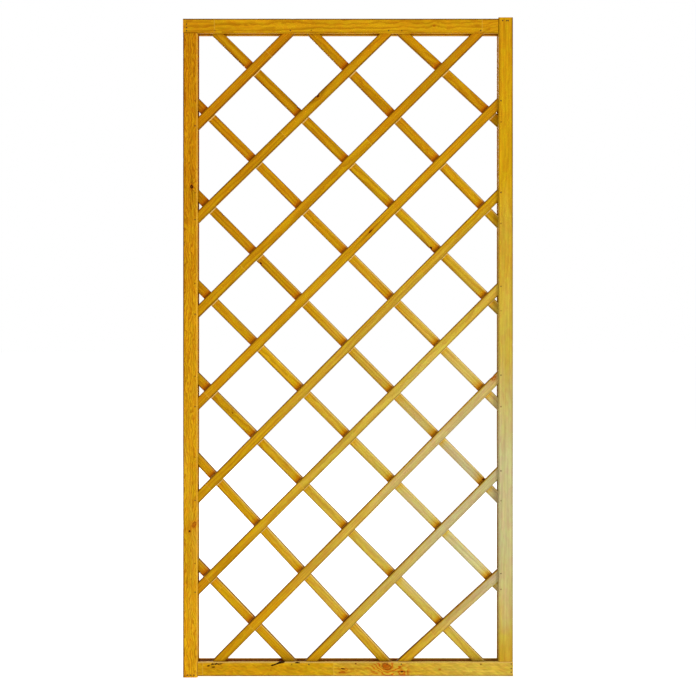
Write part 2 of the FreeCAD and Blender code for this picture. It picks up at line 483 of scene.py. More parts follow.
def joined(shapes):
    """One mesh from several (points, faces)."""
    points = []
    faces = []
    for shape_points, shape_faces in shapes:
        offset = len(points)
        points += list(shape_points)
        faces += [tuple(offset + i for i in face) for face in shape_faces]
    return mesh_of(points, faces)


def in_scene(name, data):
    """A new object in the scene, of this mesh, light or camera."""
    thing = bpy.data.objects.new(name, data)
    bpy.context.scene.collection.objects.link(thing)
    return thing


def cut_away(mesh, shapes):
    """The mesh less closed shapes that don't touch each other."""
    if not shapes:
        return mesh
    body = in_scene("cut_body", mesh)
    tool = in_scene("cut_tool", joined(shapes))
    cut = body.modifiers.new("cut", "BOOLEAN")
    cut.operation = "DIFFERENCE"
    cut.solver = "EXACT"
    cut.object = tool
    evaluated = body.evaluated_get(bpy.context.evaluated_depsgraph_get())
    result = bpy.data.meshes.new_from_object(evaluated)
    for thing in (body, tool):
        old = thing.data
        bpy.data.objects.remove(thing)
        bpy.data.meshes.remove(old)
    return result


def cad_solids(node):
    """The vertex positions of each separate solid of a CAD node."""
    shape = bmesh.new()
    shape.from_mesh(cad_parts[node].data)
    bmesh.ops.remove_doubles(shape, verts=shape.verts, dist=1e-6)
    left = set(shape.verts)
    solids = []
    while left:
        seed = left.pop()
        found = [seed]
        queue = [seed]
        while queue:
            for edge in queue.pop().link_edges:
                for vert in edge.verts:
                    if vert in left:
                        left.remove(vert)
                        found.append(vert)
                        queue.append(vert)
        solids.append(np.array([tuple(vert.co) for vert in found]))
    shape.free()
    return sorted(solids, key=lambda points: tuple(np.round(points.mean(axis=0), 5)))


def brad_places(node):
    """The (x, z) of each brad in a CAD node."""
    return [tuple((solid.min(axis=0) + solid.max(axis=0))[[0, 2]] / 2) for solid in cad_solids(node)]


def smooth(value, low, high):
    """0 below low, 1 above high and a smooth ramp between."""
    share = np.clip((value - low) / (high - low), 0, 1)
    return share * share * (3 - 2 * share)


def between_ends(ends, share):
    """The value a share of the way from the first of two to the second."""
    return ends[0] + (ends[1] - ends[0]) * share


def mark(mesh, domain="POINT", **fields):
    """Writes numbers or vectors on the mesh's points or faces, for the materials to read."""
    count = len(mesh.vertices if domain == "POINT" else mesh.polygons)
    for name, values in fields.items():
        values = np.asarray(values, dtype=np.float32)
        if values.ndim == 2:
            kind, key, shape = "FLOAT_VECTOR", "vector", (count, 3)
        else:
            kind, key, shape = "FLOAT", "value", (count,)
        attribute = mesh.attributes.new(name, kind, domain)
        attribute.data.foreach_set(key, np.broadcast_to(values, shape).ravel())


def rows_of(items, key):
    """A vector of each vertex or face, as rows of x, y, z."""
    flat = np.zeros(len(items) * 3, dtype=np.float32)
    items.foreach_get(key, flat)
    return flat.reshape(-1, 3).astype(float)


def in_metres(knot):
    """The same knot with its lengths in metres."""
    return Knot(*[value * MM for value in knot[:4]], knot.turn, knot.lift * MM, knot.dead)


def beside_knot(knot):
    """The stretch of a piece, from and to, that a knot needs a finer mesh in."""
    return knot.along - 2.2 * knot.long, knot.along + 2.2 * knot.long


def knot_fields(along, across, knots):
    """At each point: its distance from the nearest knot as a multiple of that knot's size, how far the
    rings bulge, how dead that nearest knot is, and how much resin has run along the grain from it."""
    nearest = np.full(len(along), FAR_FROM_KNOTS)
    lift = np.zeros(len(along))
    dead = np.zeros(len(along))
    resin = np.zeros(len(along))
    for knot in knots:
        turn = math.radians(knot.turn)
        x = along - knot.along
        y = across - knot.out
        span = np.hypot(
            (x * math.cos(turn) + y * math.sin(turn)) / knot.long,
            (y * math.cos(turn) - x * math.sin(turn)) / knot.wide,
        )
        lift += knot.lift / (1 + (span / 2.0) ** 2)
        dead = np.where(span < nearest, knot.dead, dead)
        nearest = np.minimum(nearest, span)
        run = np.exp(-np.abs(x) / (9 * knot.long) - (y / (1.3 * knot.wide)) ** 2)
        resin = np.maximum(resin, run * (0.3 + 0.7 * knot.dead))
    return nearest, lift, dead, resin


def crack_field(along, across, lines):
    """1 in a crack, falling to 0 a little way from it."""
    field = np.zeros(len(along))
    for line in lines:
        for (x0, y0, w0), (x1, y1, w1) in zip(line, line[1:]):
            run = math.hypot(x1 - x0, y1 - y0)
            share = np.clip(((along - x0) * (x1 - x0) + (across - y0) * (y1 - y0)) / run**2, 0, 1)
            away = np.hypot(along - x0 - share * (x1 - x0), across - y0 - share * (y1 - y0))
            half = (w0 + (w1 - w0) * share) / 2
            field = np.maximum(field, 1 - smooth(away, half, half + 1.6 * MM))
    return field


def painted_sheen_at(points):
    """How much painted sheen each point has: most low on the right, least at the upper left and foot."""
    across = points[:, 0] - SHEEN_CENTRE[0]
    up = 0.88 * (points[:, 2] - SHEEN_CENTRE[1])
    less_sheen_at_foot = 0.68 + 0.32 * smooth(points[:, 2], 40 * MM, 160 * MM)
    return np.exp(-((np.hypot(across, up) / SHEEN_REACH) ** 1.45)) * less_sheen_at_foot


def mark_timber(mesh, local, seed, joints, knots, brads=(), cracks=(), **fields):
    """Writes what the timber materials read: the grain's own coordinates, joints, knots, cracks, rust, end
    faces and the fields given, among them painted shade, shadow and highlight.
    """
    places = (list(joints) + [NO_JOINT] * 3)[:3]
    along, across = local[:, 0], local[:, 1]
    away = np.full(len(local), 1.0)
    for brad in brads:
        away = np.minimum(away, np.hypot(along - brad[0], across - brad[1]) / RUST_REACH)
    knot, lift, dead, resin = knot_fields(along, across, knots)
    crack = crack_field(along, across, cracks)
    mark(mesh, grain=local, joints=[places], seed=seed, resin=resin, knot=knot, lift=lift, dead=dead)
    mark(mesh, crack=crack, rust=1 - away, **fields)
    mark(mesh, "FACE", end=end_faces(mesh))


def corner_nearness(first, second, corners, full, none):
    """1 up to the distance full from the square corners of a section, falling to 0 at none."""
    nearest = np.full(len(first), 1.0)
    for x, y in corners:
        nearest = np.minimum(nearest, np.hypot(first - x, second - y))
    return 1 - smooth(nearest, full, none)


def end_faces(mesh):
    """1 on the faces that look along the piece."""
    return (np.abs(rows_of(mesh.polygons, "normal")[:, 0]) > 0.8).astype(float)


def finish_piece(mesh, name, node, material, sharp_deg=32):
    """Adds the mesh to the scene as a piece that stands for a CAD node."""
    mesh.name = name
    mesh.materials.clear()
    mesh.materials.append(material)
    mesh.polygons.foreach_set("use_smooth", np.ones(len(mesh.polygons), dtype=bool))
    mesh.set_sharp_from_angle(angle=math.radians(sharp_deg))
    piece = in_scene(name, mesh)
    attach(piece, "root")
    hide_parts(node)
    return piece


# ---------------------------------------------------------------- posts and rails


def bar_wear(outline, arris, bruises, knots, seed):
    """How far to push each outline point in, as a function: planer ripple, rubbed arrises and bruises."""
    wear = sizes().wear
    half = outline[:, 1].max()

    def push(place, index):
        out, deep = outline[index]
        ripple = noise.noise(Vector((place * 7, out * 30 + seed, deep * 30)))
        depth = BAR_RIPPLE * (1 + ripple)
        if arris[index] > 0:
            rubbed_and_highlit = noise.noise(Vector((place * 22, seed + 7 * np.sign(deep) + 40 * out, 3.3)))
            depth += arris[index] * wear * (0.35 + max(0.0, rubbed_and_highlit))
        for centre, across, half_length, bruise_depth in bruises:
            reach = abs(place - centre) / half_length
            if reach < 1 and deep < 0:
                near = max(0.0, 1 - math.hypot(out - across, deep + half) / BAR_BRUISE_REACH)
                depth += bruise_depth * near * (1 - reach * reach)
        for knot in knots:
            if knot.dead and deep < -half + 1 * MM:
                span = math.hypot((place - knot.along) / knot.long, (out - knot.out) / knot.wide)
                depth += SUNK_KNOT * max(0.0, 1 - span * span)
        return depth

    return push


def groove_sides(half):
    """How deep the groove's front and back sides lie in a bar of this half thickness."""
    front = -half + sizes().front_lip
    return front, front + sizes().groove_width


def bar_outline(step):
    """The section of a frame bar as (out from the inner edge, depth), with its groove."""
    low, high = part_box("top_rail")
    bar = high.z - low.z
    half = bar / 2
    front, back = groove_sides(half)
    depth = sizes().groove_depth
    inner = sizes().inner_round
    outer = sizes().outer_round
    mouth = 0.6 * MM
    corners = [
        (0, -half, inner),
        (bar, -half, outer),
        (bar, half, outer),
        (0, half, inner),
        (0, back, mouth),
        (depth, back, 0),
        (depth, front, 0),
        (0, front, mouth),
    ]
    return rounded_outline(corners, step, BESIDE_ARRIS)


def bar_placing(name):
    """A bar's origin (lower or left end, on the inner edge), its length, width and long axis's number."""
    direction, outward, _, _ = BARS[name]
    low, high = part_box(name)
    along_axis = max(range(3), key=lambda i: abs(direction[i]))
    out_axis = max(range(3), key=lambda i: abs(outward[i]))
    inner = low[out_axis] if outward[out_axis] > 0 else high[out_axis]
    origin = direction * low[along_axis] + outward * (inner * outward[out_axis])
    return origin, high[along_axis] - low[along_axis], high[out_axis] - low[out_axis], along_axis


def brads_in_bar(name, origin, length, bar):
    """The node and the place, as along and out, of each brad in a bar."""
    direction, outward, _, _ = BARS[name]
    brads = []
    for node in BRAD_NODES:
        for x, z in brad_places(node):
            spot = Vector((x, 0, z)) - origin
            place = (spot.dot(direction), spot.dot(outward))
            if 0 < place[0] < length and 0 < place[1] < bar:
                brads.append((node, place))
    return brads


def cut_joints(mesh, name, length, bar, along_axis):
    """Cuts the open mortise at one end of a bar and leaves the tenon at the other."""
    _, _, mortise_first, mate = BARS[name]
    low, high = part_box(name)
    mate_low, mate_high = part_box(mate)
    half = bar / 2
    front, back = groove_sides(half)
    tenon_width = bar - sizes().groove_depth
    if mortise_first:
        horn = mate_low[along_axis] - low[along_axis]
    else:
        horn = high[along_axis] - mate_high[along_axis]
    mortise = tenon_width + max(0.0, horn)
    gap = sizes().shoulder_gap
    past = 4 * MM  # how far the cutting boxes reach past the timber
    slot_low, slot_high = (-past, mortise) if mortise_first else (length - mortise, length + past)
    tenon_from = length - bar - gap if mortise_first else -past
    tenon_to = length + past if mortise_first else bar + gap
    return cut_away(
        mesh,
        [
            box_shape((slot_low, -past, front), (slot_high, bar + past, back)),
            box_shape((tenon_from, -past, -half - past), (tenon_to, bar + past, front)),
            box_shape((tenon_from, -past, back), (tenon_to, bar + past, half + past)),
        ],
    )


def brad_hole(node, along, out, half):
    """The round hole over a brad that is set below a bar's face."""
    radius, below, above = 1.5 * MM, 2.2 * MM, 0.9 * MM
    facing = 1 if node == "back_lath_brads" else -1
    profile = [(0, -below), (radius, -below), (radius, above), (0, above)]
    return turned_shape(profile, (along, out, facing * half), (0, 0, facing), 10)


def make_bar(name, seed, material):
    """One post or rail with its groove, open mortise, tenon, brad holes, knots, bruises and cracks."""
    direction, outward, _, _ = BARS[name]
    origin, length, bar, along_axis = bar_placing(name)
    half = bar / 2
    front, back = groove_sides(half)
    look = BAR_LOOKS[name]

    brads = brads_in_bar(name, origin, length, bar)
    joints = [j * MM for j in BAR_JOINTS.get(name, ())]
    knots = [in_metres(knot) for knot in BAR_KNOTS.get(name, ())]
    bruises = [tuple(value * MM for value in bruise) for bruise in BAR_BRUISES.get(name, ())]
    cracks = []
    beside_brad = 4 * MM
    fine = [(place[0] - beside_brad, place[0] + beside_brad) for _, place in brads]
    fine += [beside_knot(knot) for knot in knots]
    fine += [(bruise[0] - bruise[2], bruise[0] + bruise[2]) for bruise in bruises]
    face_step = sizes().face_step
    if name == "bottom_rail":
        face_step = sizes().fine_step
        cracks = [[tuple(value * MM for value in point) for point in line] for line in BOTTOM_RAIL_CRACKS]
        fine += [(first * MM, last * MM) for first, last in CRACKED]

    outline, arris = bar_outline(face_step)
    places = stations(0, length, sizes().bar_step, fine, sizes().fine_step)
    mesh = swept_mesh(outline, places, bar_wear(outline, arris, bruises, knots, seed))
    mesh = cut_joints(mesh, name, length, bar, along_axis)
    mesh = cut_away(mesh, [brad_hole(node, *place, half) for node, place in brads])
    crack_depth = 4.5 * MM
    for line in cracks:
        points, faces = crack_shape(line, -half, crack_depth)
        mesh = cut_away(mesh, [([(x, z, y) for x, y, z in points], faces)])

    local = rows_of(mesh.vertices, "co")
    along, out, deep = local.T
    # Painted shade in the groove, more or less towards the bar's ends, and a little on the back lip's top
    groove_shade = (
        smooth(out, -0.5 * MM, 0.5 * MM)
        * (1 - smooth(out, sizes().groove_depth, sizes().groove_depth + 1 * MM))
        * smooth(deep, front - 0.6 * MM, front)
        * (1 - smooth(deep, back, back + 0.6 * MM))
    )
    groove_shade *= between_ends(look.groove, smooth(along / length, 0.2, 0.75))
    lip_top = smooth(deep, back, back + 1 * MM) * (1 - smooth(np.abs(out), 0.5 * MM, 2.5 * MM))
    groove_shade = np.maximum(groove_shade, 0.15 * lip_top)

    outer = sizes().outer_round
    inner = sizes().inner_round
    # Painted shade on the outer arrises and the back lip's inner arris; the front lip's inner arris gets
    # painted shade or a painted highlight, and a painted highlight strip on some bars
    rounded = corner_nearness(out, deep, [(bar, -half), (bar, half)], outer + 0.3 * MM, outer + 1.5 * MM)
    front_lip = corner_nearness(out, deep, [(0, -half)], 0.75 * inner, 1.05 * inner)
    back_lip = corner_nearness(out, deep, [(0, half)], 0.75 * inner, 1.05 * inner)
    rounded += look.lip * front_lip + 0.25 * back_lip
    spots = [place for _, place in brads]
    tone = between_ends(look.tone, along / length)
    mark_timber(
        mesh, local, seed, joints, knots, spots, cracks,
        groove=groove_shade, arris=rounded, pool=0.0, bare=look.bare * front_lip,
        curly=look.curl, figure=look.figure, tone=tone,
    )
    row = (
        np.array(origin)
        + local[:, :1] * np.array(direction)
        + local[:, 1:2] * np.array(outward)
        + local[:, 2:] * np.array(BACK)
    )
    # Painted sheen, with more of it towards some bars' ends
    fading = between_ends(look.fading, along / length)
    place_mesh(mesh, row, np.clip(painted_sheen_at(row) + fading, 0, 1))
    return finish_piece(mesh, f"{name}_timber", name, material)


def place_mesh(mesh, row, sheened):
    """Moves the mesh's points to the row's frame, writes how much painted sheen each has and turns its faces
    out.
    """
    mesh.vertices.foreach_set("co", row.astype(np.float32).ravel())
    mark(mesh, bleach=sheened)
    mesh.update()
    face_outwards(mesh)


# ---------------------------------------------------------------- laths


def lath_line(name):
    """A lath's line from its CAD mesh: its middle, direction and normal as (x, z), its length and width."""
    flat = np.array([(v.co.x, v.co.z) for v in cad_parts[name].data.vertices])
    best = None
    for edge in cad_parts[name].data.edges:
        run = flat[edge.vertices[1]] - flat[edge.vertices[0]]
        length = np.hypot(*run)
        if length < 20 * MM:
            continue
        direction = run / length
        aside = flat @ np.array((-direction[1], direction[0]))
        width = aside.max() - aside.min()
        if best is None or width < best[0] - 1e-7:
            best = (width, direction, (aside.max() + aside.min()) / 2)
    width, direction, aside = best
    if direction[0] < 0:
        direction = -direction
        aside = -aside
    normal = np.array((-direction[1], direction[0]))
    along = flat @ direction
    middle = direction * (along.max() + along.min()) / 2 + normal * aside
    return middle, direction, normal, along.max() - along.min(), width


def lath_room():
    """The rectangle that the laths' ends are cut to, as lowest and highest (x, z)."""
    boxes = [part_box(name) for name in RISING_LATHS + FALLING_LATHS]
    low = (min(b[0].x for b in boxes), min(b[0].z for b in boxes))
    high = (max(b[1].x for b in boxes), max(b[1].z for b in boxes))
    return low, high


def trim_ends(mesh, middle, direction, normal):
    """Cuts the lath off along the four sides of the room that the grooves leave."""
    low, high = lath_room()
    cuts = [((low[0], 0), (-1, 0)), ((high[0], 0), (1, 0)), ((0, low[1]), (0, -1)), ((0, high[1]), (0, 1))]
    shape = bmesh.new()
    shape.from_mesh(mesh)
    for point, outward in cuts:
        offset = np.array(point) - middle
        local_point = (offset @ direction, offset @ normal, 0)
        local_out = (np.array(outward) @ direction, np.array(outward) @ normal, 0)
        geometry = list(shape.verts) + list(shape.edges) + list(shape.faces)
        result = bmesh.ops.bisect_plane(
            shape, geom=geometry, plane_co=local_point, plane_no=local_out, clear_outer=True
        )
        rim = [item for item in result["geom_cut"] if isinstance(item, bmesh.types.BMEdge)]
        if rim:
            bmesh.ops.holes_fill(shape, edges=rim, sides=0)
    shape.to_mesh(mesh)
    shape.free()


def beside_crossings(flat, width):
    """How far each point is above the front laths' upper edges and below their lower ones, or 1 m."""
    above = np.full(len(flat), 1.0)
    below = np.full(len(flat), 1.0)
    for name in RISING_LATHS:
        middle, _, normal, _, _ = lath_line(name)
        height = (flat - middle) @ normal
        above = np.where(height > -width / 2, np.minimum(above, np.maximum(height - width / 2, 0)), above)
        below = np.where(height < width / 2, np.minimum(below, np.maximum(-width / 2 - height, 0)), below)
    return above, below


def crossing_places(middle, direction):
    """How far along a back lath each front lath crosses it."""
    places = []
    for name in RISING_LATHS:
        front_middle, _, front_normal, _, _ = lath_line(name)
        places.append((front_middle - middle) @ front_normal / (direction @ front_normal))
    return places


def lath_wear(outline, arris, bruises, seed):
    """How far each point of a lath's outline is pushed in."""
    wear = sizes().wear * 0.3

    def push(place, index):
        across, deep = outline[index]
        ripple = noise.noise(Vector((place * 6, across * 40 + seed, deep * 40)))
        depth = LATH_RIPPLE * (1 + ripple)
        if arris[index] > 0:
            rubbed_and_highlit = noise.noise(Vector((place * 14, seed + 5 * np.sign(deep) + 60 * across, 8.1)))
            depth += arris[index] * wear * (0.3 + max(0.0, rubbed_and_highlit))
        for centre, offset, half_length, bruise_depth in bruises:
            reach = abs(place - centre) / half_length
            if reach < 1:
                near = max(0.0, 1 - abs(across - offset) / LATH_BRUISE_REACH)
                depth += bruise_depth * near * (1 - reach * reach)
        return depth

    return push


def make_lath(name, seed, material, staples):
    """One lath with sawn ends, knots, finger joints and, in the back layer, slots for the staples."""
    middle, direction, normal, length, width = lath_line(name)
    low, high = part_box(name)
    thickness = high.y - low.y
    mid_y = (high.y + low.y) / 2
    half_w = width / 2
    half_t = thickness / 2
    radius = sizes().lath_round
    section = rectangle(half_w, half_t, radius)
    outline, arris = rounded_outline(section, sizes().face_step, BESIDE_ARRIS)

    def along_at(x):
        return (x - middle[0]) / direction[0]

    knots = [in_metres(knot) for knot in LATH_KNOTS.get(name, ())]
    knots = [knot._replace(along=along_at(knot.along)) for knot in knots]
    # A knot near an edge has left a hollow in it
    near_edge = 6 * MM
    hollow = 0.9 * MM
    bruises = [
        (knot.along, math.copysign(half_w, knot.out), knot.long, hollow)
        for knot in knots
        if abs(knot.out) > near_edge
    ]
    joints = sorted(along_at(x * MM) for x in LATH_JOINTS.get(name, ()))
    past_ends = 20 * MM
    reach = length / 2 + past_ends
    fine = [beside_knot(knot) for knot in knots]
    if name in FALLING_LATHS:
        # The painted shadow's and highlight strip's edges beside each crossing need close steps
        for crossing in crossing_places(middle, direction):
            fine.append((crossing - half_w - 16 * MM, crossing - half_w + 3 * MM))
            fine.append((crossing + half_w - 3 * MM, crossing + half_w + 9 * MM))
    places = stations(-reach, reach, sizes().lath_step, fine, sizes().fine_step)
    mesh = swept_mesh(outline, places, lath_wear(outline, arris, bruises, seed))
    trim_ends(mesh, middle, direction, normal)

    slots = []
    for x, z, turn in staples:
        spot = np.array((x, z)) - middle
        along, aside = spot @ direction, spot @ normal
        if abs(aside) < half_w and abs(along) < reach:
            slots.append(staple_slot(along, aside, turn - math.atan2(direction[1], direction[0]), half_t))
    mesh = cut_away(mesh, slots)

    local = rows_of(mesh.vertices, "co")
    _, across, deep = local.T
    section_corners = [(x, y) for x, y, _ in section]
    # Painted shade along the arrises
    shade_full_to = radius + 0.8 * MM
    clear_from = radius + 2.0 * MM
    rounded = corner_nearness(across, deep, section_corners, shade_full_to, clear_from)
    flat = middle + local[:, :1] * direction + local[:, 1:2] * normal
    row = np.column_stack([flat[:, 0], mid_y + deep, flat[:, 1]])
    # Painted sheen, a little stronger on the laths
    sheened = np.clip(1.14 * painted_sheen_at(row), 0, 1)
    pool = 0.0
    bare = 0.0
    if name in FALLING_LATHS:
        # Painted shadow lies above each crossing and a painted highlight strip below it, and the front
        # lath's painted shade keeps the painted sheen off both. A painted highlight strip runs beside the
        # upper front arris.
        above, below = beside_crossings(flat, width)
        on_front = (1 - 0.6 * sheened) * (deep < 0)
        pool = (1 - smooth(above, 1 * MM, 20 * MM)) * on_front
        bare = (1 - smooth(below, 1.2 * MM, 2.8 * MM)) * on_front
        shaded_from_sheen = np.maximum(0.9 * np.exp(-above / (12 * MM)), 0.6 * np.exp(-below / (5 * MM)))
        beside = (np.abs(across - half_w + 2.3 * MM) < 0.5 * MM) & (deep < 0.1 * MM - half_t)
        rounded = np.where(beside, 0.0, rounded)
        bare = np.maximum(bare, beside * 0.75 * smooth(sheened, 0.15, 0.45))
    else:
        # The upper edge has painted shade and less painted sheen
        shaded_from_sheen = 0.9 * smooth(across, half_w - 3 * MM, half_w - 1.5 * MM)
        rounded = np.maximum(rounded, 0.85 * smooth(across, half_w - 2.9 * MM, half_w - 1.2 * MM))
    mark_timber(
        mesh, local, seed, joints, knots,
        groove=0.0, arris=rounded, pool=pool, bare=bare,
        curly=LATH_CURL, figure=LATH_FIGURE, tone=1.0,
    )
    place_mesh(mesh, row, sheened * (1 - shaded_from_sheen))
    return finish_piece(mesh, f"{name}_timber", name, material)


def staple_slot(along, aside, turn, surface):
    """The narrow slot that a staple's crown has pressed into the back of a lath."""
    half_length = 5.9 * MM
    half_width = 0.95 * MM
    floor = surface - 1.3 * MM
    top = surface + 1 * MM
    points, faces = box_shape((-half_length, -half_width, floor), (half_length, half_width, top))
    cos, sin = math.cos(turn), math.sin(turn)
    turned = [(along + x * cos - y * sin, aside + x * sin + y * cos, z) for x, y, z in points]
    return turned, faces


# ---------------------------------------------------------------- brads and staples


def staple_places():
    """(x, z, turn) of each staple: the middle of its crown and the crown's direction seen from the front."""
    found = []
    for solid in cad_solids("crossing_staples"):
        flat = solid[:, [0, 2]]
        middle = (flat.min(axis=0) + flat.max(axis=0)) / 2
        _, axes = np.linalg.eigh(np.cov((flat - middle).T))
        crown = axes[:, 1]
        found.append((middle[0], middle[1], math.atan2(crown[1], crown[0])))
    return found


def brad_shape(x, z, surface, facing, length):
    """A brad: a domed head with a chamfered rim, a round shank and a drawn point."""
    head = 1.3 * MM
    shank = 0.9 * MM
    profile = [
        (0, -BRAD_SET + 0.16 * MM),
        (0.45 * head, -BRAD_SET + 0.12 * MM),
        (0.85 * head, -BRAD_SET - 0.02 * MM),
        (head, -BRAD_SET - 0.25 * MM),
        (head, -BRAD_SET - 0.95 * MM),
        (shank, -BRAD_SET - 1.25 * MM),
        (shank, -length + 2.4 * MM),
        (0.35 * shank, -length + 0.4 * MM),
        (0, -length),
    ]
    return turned_shape(profile, (x, surface, z), (0, facing, 0))


def make_brads(node, material):
    """All the brads of one CAD node as one piece, each a separate closed shape."""
    low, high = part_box(node)
    facing = -1 if abs(low.y - cad_low.y) < abs(high.y - cad_high.y) else 1
    surface = cad_low.y if facing < 0 else cad_high.y
    length = high.y - low.y + BRAD_SET
    shapes = [brad_shape(x, z, surface, facing, length) for x, z in brad_places(node)]
    return finish_piece(joined(shapes), f"{node}_wire", node, material, 45)


def staple_shape(x, z, turn, crown_y, leg):
    """A staple: flat wire bent at two round corners, with chisel points."""
    half_span = 4.9 * MM
    bend = 0.9 * MM
    thick = 0.9 * MM
    wide = 1.3 * MM
    bend_steps = 5
    path = [(-half_span, -leg), (-half_span, -leg + 2 * MM), (-half_span, -bend)]
    for k in range(1, bend_steps + 1):
        angle = math.pi / 2 * k / bend_steps
        path.append((-half_span + bend * (1 - math.cos(angle)), -bend + bend * math.sin(angle)))
    path += [(-u, depth) for u, depth in reversed(path)]
    section, _ = rounded_outline(rectangle(wide / 2, thick / 2, 0.2 * MM), 1 * MM)
    crown = Vector((math.cos(turn), 0, math.sin(turn)))
    aside = Vector((-math.sin(turn), 0, math.cos(turn)))
    centre = Vector((x, crown_y - thick / 2, z))
    points = []
    for i, (u, depth) in enumerate(path):
        before = path[max(0, i - 1)]
        after = path[min(len(path) - 1, i + 1)]
        run = Vector((after[0] - before[0], after[1] - before[1])).normalized()
        tip = 0.25 if i in (0, len(path) - 1) else 1.0
        for wide_at, thick_at in section:
            offset = Vector((-run.y, run.x)) * (thick_at * tip)
            flat = crown * (u + offset.x) + BACK * (depth + offset.y)
            points.append(tuple(centre + flat + aside * wide_at))
    return points, tube_faces(len(path), len(section))


def make_staples(material):
    """All the crossing staples as one piece."""
    low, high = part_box("crossing_staples")
    short_of_node = 0.6 * MM
    leg = high.y - low.y - short_of_node
    shapes = [staple_shape(x, z, turn, high.y, leg) for x, z, turn in staple_places()]
    mesh = joined(shapes)
    return finish_piece(mesh, "crossing_staples_wire", "crossing_staples", material, 45)


# ---------------------------------------------------------------- materials


class Bench:
    """Adds shader nodes to one material and links them."""

    def __init__(self, name):
        self.material = bpy.data.materials.new(name)
        self.material.use_nodes = True
        self.tree = self.material.node_tree
        self.surface = self.tree.nodes["Principled BSDF"]

    def node(self, kind, *values, **settings):
        """A node of this kind with its first inputs fed."""
        made = self.tree.nodes.new(kind)
        for key, value in settings.items():
            setattr(made, key, value)
        for socket, value in zip(made.inputs, values):
            self.feed(socket, value)
        return made

    def feed(self, socket, value):
        """Links the value to the socket if it is one itself, or else sets it."""
        if isinstance(value, bpy.types.NodeSocket):
            self.tree.links.new(value, socket)
        else:
            socket.default_value = value

    def attribute(self, name, output="Fac"):
        return self.node("ShaderNodeAttribute", attribute_name=name).outputs[output]

    def objects_place(self):
        """Where a point lies in its object, in metres."""
        return self.node("ShaderNodeTexCoord").outputs["Object"]

    def math(self, operation, *values, clamp=False):
        return self.node("ShaderNodeMath", *values, operation=operation, use_clamp=clamp).outputs[0]

    def times(self, first, *others):
        """The product of all of them."""
        for other in others:
            first = self.math("MULTIPLY", first, other)
        return first

    def adding(self, base, *parts):
        """The base plus shares of other values, each given as (value, share)."""
        for value, share in parts:
            base = self.math("MULTIPLY_ADD", value, share, base)
        return base

    def rest_of(self, share):
        return self.math("SUBTRACT", 1.0, share)

    def vector(self, operation, first, second):
        return self.node("ShaderNodeVectorMath", first, second, operation=operation).outputs[0]

    def split(self, vector):
        return self.node("ShaderNodeSeparateXYZ", vector).outputs

    def ramp(self, value, low, high, low_out=0.0, high_out=1.0):
        """A smooth ramp of value from low to high."""
        numbers = (value, low, high, low_out, high_out)
        return self.node("ShaderNodeMapRange", *numbers, interpolation_type="SMOOTHSTEP").outputs[0]

    def noise(self, vector, scale, detail=2.0, roughness=0.5):
        """Noise, 0 to 1, of a vector stretched by scale (x, y, z)."""
        made = self.node("ShaderNodeTexNoise")
        self.feed(made.inputs["Vector"], self.vector("MULTIPLY", vector, scale))
        made.inputs["Scale"].default_value = 1.0
        made.inputs["Detail"].default_value = detail
        made.inputs["Roughness"].default_value = roughness
        return made.outputs["Fac"]

    def wander(self, vector, scale, detail):
        """Noise about 0."""
        return self.math("SUBTRACT", self.noise(vector, scale, detail), 0.5)

    def mix(self, share, first, second, blend="MIX"):
        """A share of the second colour over the first."""
        made = self.node("ShaderNodeMix", share, data_type="RGBA", blend_type=blend)
        for socket, value in ((made.inputs[6], first), (made.inputs[7], second)):
            self.feed(socket, value if isinstance(value, bpy.types.NodeSocket) else (*value, 1.0))
        return made.outputs[2]

    def tinted(self, colour, tint):
        return self.mix(1.0, colour, tint, "MULTIPLY")

    def relief(self, height, distance, strength=1.0):
        """Raises the surface by height, 0 to 1, times distance in metres."""
        made = self.node("ShaderNodeBump")
        made.inputs["Strength"].default_value = strength
        made.inputs["Distance"].default_value = distance
        self.feed(made.inputs["Height"], height)
        self.feed(self.surface.inputs["Normal"], made.outputs[0])


